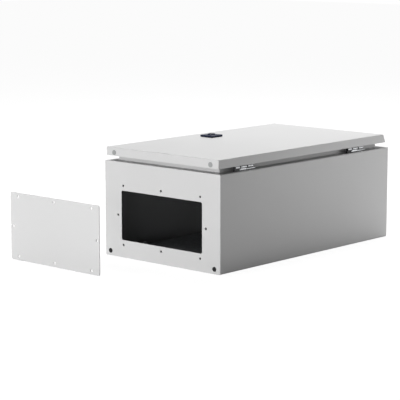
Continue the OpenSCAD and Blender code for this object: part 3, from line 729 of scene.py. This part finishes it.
set_out(
    threaded("plate_stud", stud_thread, stud_l, stud_pitch, stud_plain),
    "plate_studs", stud_foot, "body", zinc, "zinc_fixing",
)
set_out(
    washer("spacer", spacer_r, nut_bore / 2, spacer_l, spacer_edge),
    "plate_spacers", lifted(stud_foot, spacer_boxes[0][0][2]), "body", zinc, "zinc_fixing",
)
set_out(
    washer("plate_washer", washer_r, nut_bore / 2, washer_t),
    "plate_washers", lifted(stud_foot, washer_boxes[0][0][2]), "body", zinc, "zinc_fixing",
)
set_out(
    hex_nut("plate_nut", plate_nut_flats, nut_bore, plate_nut_h),
    "plate_nuts", lifted(stud_foot, plate_nut_boxes[0][0][2]), "body", zinc, "zinc_fixing",
)

# ---------------------------------------------------------------------------
# Earth point of the body: an M8 brass stud welded to the back beside the
# gland end, with a brass washer and nut for the protective conductor.
# ---------------------------------------------------------------------------

brass = metal("earth_brass", (0.80, 0.62, 0.33), 0.24, cast=(1.0, 0.96, 0.86))


def earth_point(where, body, diameter, pitch, flats, toward):
    """Dresses one earth point, whose wall is at the root of its stud."""
    stud_box, washer_box, nut_box = (
        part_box(f"{where}_earth_{kind}") for kind in ("stud", "washer", "nut")
    )
    length = stud_box[1][2] - stud_box[0][2]
    disc_t = washer_box[1][2] - washer_box[0][2]
    disc_r = (washer_box[1][0] - washer_box[0][0]) / 2
    nut_h = nut_box[1][2] - nut_box[0][2]
    play = 0.1 * MM
    root = 0 if toward > 0 else 1
    middle_x = (stud_box[0][0] + stud_box[1][0]) / 2
    middle_y = (stud_box[0][1] + stud_box[1][1]) / 2
    stud = threaded(f"{where}_stud", diameter, length, pitch, disc_t)
    disc = washer(f"{where}_disc", disc_r, diameter / 2 + play, disc_t)
    nut = hex_nut(f"{where}_hexagon", flats, diameter + 2 * play, nut_h)
    for kind, pattern, box in (
        ("stud", stud, stud_box), ("washer", disc, washer_box), ("nut", nut, nut_box)
    ):
        set_out(
            pattern, f"{where}_earth_{kind}", [Vector((middle_x, middle_y, box[root][2]))],
            body, brass, "brass_fixing", toward=(0, 0, toward),
        )


earth_point("body", "body", stud_thread, stud_pitch, plate_nut_flats, 1)

# ---------------------------------------------------------------------------
# Door: a folded tray of the same sheet, primed and powder coated like the
# body. Two punched rails stiffen it, and an M6 earth stud stands inside.
# Its inner faces and rails keep the dark primer grey, partly painted shade.
# ---------------------------------------------------------------------------

door_low, door_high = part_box("door_shell")
door_foot_y = door_high[1]
door_slope = 10.5 * MM


def door_inside(s, place):
    """1 on the door's inner faces and those of its flanges, where the darker primer grey paints in
    shade.
    """
    x, y, z = axes_of(s, place)
    lean = (z - door_low[2]) * (door_slope / (door_high[2] - door_low[2]))
    return (
        (abs(x) < door_high[0] - sheet / 2)
        * (z < door_high[2] - sheet / 2)
        * (y > door_low[1] + sheet / 2)
        * ((y + lean) < (door_foot_y - sheet / 2))
    )


dress("door_shell", powder("door_powder_coat", door_inside))


def primed_and_shaded(name, colour):
    """Dipped primer alone, satin and slightly uneven; in the dark primer grey it is partly painted
    shade.
    """
    made, s = finish_of(name)
    place = s.node("TexCoord", output="Object")
    run = s.node("TexNoise", inputs={"Vector": place, "Scale": 16.0, "Detail": 3.0})
    speck = s.node("TexNoise", inputs={"Vector": place, "Scale": 1100.0, "Detail": 2.0})
    tone = mixed(s, run * 0.5 + speck * 0.5, tinted(colour, 0.86), tinted(colour, 1.14))
    bump = s.node("Bump", inputs={"Strength": 0.25, "Distance": 0.04 * MM, "Height": speck})
    end_with(s, Base_Color=tone, Roughness=0.46 + run * 0.12, Normal=bump)
    return made


# The rails take the dark primer grey, which partly stands for painted shade inside the door.
dress("door_rails", primed_and_shaded("rail_primer_and_shade", primer_and_shade_grey))
door_stud_thread = 6 * MM
door_stud_pitch = 1.0 * MM
door_nut_flats = 10 * MM
earth_point("door", "door", door_stud_thread, door_stud_pitch, door_nut_flats, -1)

# ---------------------------------------------------------------------------
# Door seal: one endless bead of foamed polyurethane, laid on the inside of
# the door along its rails, with a skin that is open-pored and rounded.
# ---------------------------------------------------------------------------


def round_ring(name, outer_w, outer_l, strip, outer_r, inner_r, thick, crown):
    """A flat ring round Z with round corners, its cross-section rounded by the crown radius."""
    loops = []
    inner_w = outer_w - 2 * strip
    inner_l = outer_l - 2 * strip
    for w, l, r in ((outer_w, outer_l, outer_r), (inner_w, inner_l, inner_r)):
        bpy.ops.object.select_all(action="DESELECT")
        bpy.ops.mesh.primitive_plane_add(size=1.0)
        loop = bpy.context.object
        bpy.ops.object.mode_set(mode="EDIT")
        bpy.ops.mesh.select_all(action="SELECT")
        bpy.ops.transform.resize(value=(w, l, 1.0))
        bpy.ops.mesh.bevel(
            affect="VERTICES", offset=r, segments=8, offset_type="OFFSET", clamp_overlap=False
        )
        bpy.ops.mesh.select_all(action="SELECT")
        bpy.ops.mesh.delete(type="ONLY_FACE")
        bpy.ops.object.mode_set(mode="OBJECT")
        loops.append(loop)
    only(loops[0])
    loops[1].select_set(True)
    bpy.ops.object.join()
    ring = bpy.context.object
    ring.name = name
    bpy.ops.object.mode_set(mode="EDIT")
    bpy.ops.mesh.select_all(action="SELECT")
    bpy.ops.mesh.bridge_edge_loops()
    bpy.ops.mesh.select_all(action="SELECT")
    bpy.ops.mesh.extrude_region_move(TRANSFORM_OT_translate={"value": (0.0, 0.0, thick)})
    bpy.ops.mesh.select_all(action="SELECT")
    bpy.ops.mesh.normals_make_consistent(inside=False)
    bpy.ops.object.mode_set(mode="OBJECT")
    soften = ring.modifiers.new("soften", "BEVEL")
    soften.width = crown
    soften.segments = 5
    soften.limit_method = "ANGLE"
    soften.angle_limit = math.radians(60)
    bpy.ops.object.modifier_apply(modifier="soften")
    return ring


def foamed(name, colour):
    """Foamed rubber: matt, with open pores of a few tenths of a millimetre."""
    made, s = finish_of(name)
    place = s.node("TexCoord", output="Object")
    pores = s.node("TexVoronoi", inputs={"Vector": place, "Scale": 1400.0}, output="Distance")
    broad = s.node("TexNoise", inputs={"Vector": place, "Scale": 90.0, "Detail": 3.0})
    tone = mixed(s, pores * 0.8 + broad * 0.3, tinted(colour, 0.6), tinted(colour, 1.5))
    bump = s.node("Bump", inputs={"Strength": 0.5, "Distance": 0.15 * MM, "Height": pores + broad})
    end_with(s, Base_Color=tone, Roughness=0.82 + broad * 0.14, Normal=bump, Specular_IOR_Level=0.3)
    return made


foam = foamed("seal_foam", (0.030, 0.031, 0.033))
seal_low, seal_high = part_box("door_gasket")
seal_w = 12 * MM
seal_corner = 9 * MM
seal_inner_corner = 1.5 * MM
seal_crown = 2.6 * MM
seal = round_ring(
    "door_seal_bead", seal_high[0] - seal_low[0], seal_high[1] - seal_low[1],
    seal_w, seal_corner, seal_inner_corner, seal_high[2] - seal_low[2], seal_crown,
)
seat(seal, (0.0, 0.0, seal_low[2]))
fit(seal, "door", foam, "foam", "door_gasket", sharp=60)

# ---------------------------------------------------------------------------
# Hinges, door half: a leaf inside the door's flange with two knuckles that
# turn on the pin, cast like the body's leaves.
# ---------------------------------------------------------------------------

fit(softened("door_hinge_leaves", 0.3 * MM), "door", bright, "bright_steel", "door_hinge_leaves")

# ---------------------------------------------------------------------------
# Door plugs: two light grey nylon plugs in the tool holes of the door's
# lower flange, moulded like those of the body.
# ---------------------------------------------------------------------------

grey_nylon = moulded("grey_nylon", (0.36, 0.37, 0.37), 0.42, spread=0.05)
tool_boxes = solids_of("door_plugs")
tool_head_t = door_low[1] - tool_boxes[0][0][1]
tool_head_d = tool_boxes[0][1][0] - tool_boxes[0][0][0]
tool_hole = 10 * MM
tool_reach = tool_boxes[0][1][1] - door_low[1]
set_out(
    push_plug("door_plug", tool_head_d, tool_head_t, tool_hole, sheet, tool_reach),
    "door_plugs",
    [Vector((centre(b)[0], door_low[1], centre(b)[2])) for b in tool_boxes],
    "door", grey_nylon, "grey_nylon", toward=(0, -1, 0),
)

# ---------------------------------------------------------------------------
# Lock: a quarter-turn lock in a navy coated die-cast housing, on a thin seal
# on the door. A plated insert for a double-bit key turns the cranked cam,
# a hexagon nut clamps the housing and a socket screw holds the cam.
# ---------------------------------------------------------------------------


def stoved(name, colour):
    """Stove enamel on a casting: smooth and half glossy over a faint cast texture."""
    made, s = finish_of(name)
    place = s.node("TexCoord", output="Object")
    broad = s.node("TexNoise", inputs={"Vector": place, "Scale": 70.0, "Detail": 2.0})
    fine = s.node("TexNoise", inputs={"Vector": place, "Scale": 800.0, "Detail": 2.0})
    tone = mixed(s, broad * 0.6 + fine * 0.4, tinted(colour, 0.85), tinted(colour, 1.2))
    bump = s.node("Bump", inputs={"Strength": 0.3, "Distance": 0.02 * MM, "Height": fine + broad})
    end_with(
        s, Base_Color=tone, Roughness=0.24 + broad * 0.1, Normal=bump, Specular_IOR_Level=0.25
    )
    return made


navy = stoved("navy_enamel", (0.003, 0.009, 0.038))
fit(softened("lock_housing", 0.35 * MM), "door", navy, "lock_finish", "lock_housing")
fit(softened("lock_seal", 0.15 * MM, 1), "door", foam, "foam", "lock_seal")
fit(softened("lock_insert", 0.15 * MM), "lock", bright, "key_insert", "lock_insert")
fit(softened("lock_cam", 0.35 * MM), "lock", zinc, "zinc_fixing", "lock_cam")

clamp_low, clamp_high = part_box("lock_nut")
clamp_middle = centre((Vector(clamp_low), Vector(clamp_high)))
clamp_flats = clamp_high[1] - clamp_low[1]
clamp_bore = 20.2 * MM
clamp = hex_nut("lock_nut_finished", clamp_flats, clamp_bore, clamp_high[2] - clamp_low[2])
seat(clamp, (clamp_middle[0], clamp_middle[1], clamp_low[2]))
fit(clamp, "door", zinc, "zinc_fixing", "lock_nut")

holder_low, holder_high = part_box("lock_cam_screw")
holder_middle = centre((Vector(holder_low), Vector(holder_high)))
holder_thread = 4 * MM
holder_head_h = 3.4 * MM
holder_key = 5 * MM
holder = socket_screw(
    "lock_cam_screw_finished", holder_thread, holder_high[0] - holder_low[0], holder_head_h,
    holder_high[2] - holder_low[2], holder_key,
)
seat(holder, (holder_middle[0], holder_middle[1], holder_low[2]))
fit(holder, "lock", zinc, "zinc_fixing", "lock_cam_screw")

# ---------------------------------------------------------------------------
# Gland plate: a flat 2 mm sheet steel blank, deburred and powder coated, with
# eight screw holes and a strip of foam on its inner side. It stands beside
# the body, in front of the opening that it closes.
# ---------------------------------------------------------------------------

fit(
    softened("gland_plate", 0.25 * MM), "gland_plate", powder("plate_powder_coat"),
    "powder_coat", "gland_plate",
)
strip_low, strip_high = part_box("gland_gasket")
strip_middle = centre((Vector(strip_low), Vector(strip_high)))
strip_w = 6 * MM
strip_corner = 5 * MM
strip_inner_corner = 1.0 * MM
strip_crown = 1.0 * MM
strip = round_ring(
    "gland_seal_strip", strip_high[0] - strip_low[0], strip_high[2] - strip_low[2],
    strip_w, strip_corner, strip_inner_corner, strip_high[1] - strip_low[1], strip_crown,
)
seat(strip, (strip_middle[0], strip_high[1], strip_middle[2]), (0, -1, 0))
fit(strip, "gland_plate", foam, "foam", "gland_gasket", sharp=60)
for loose in (bpy.data.objects["gland_plate_finished"], strip):
    see_through.objects.link(loose)
for loose in see_through.collection_objects:
    loose.light_linking.link_state = "EXCLUDE"
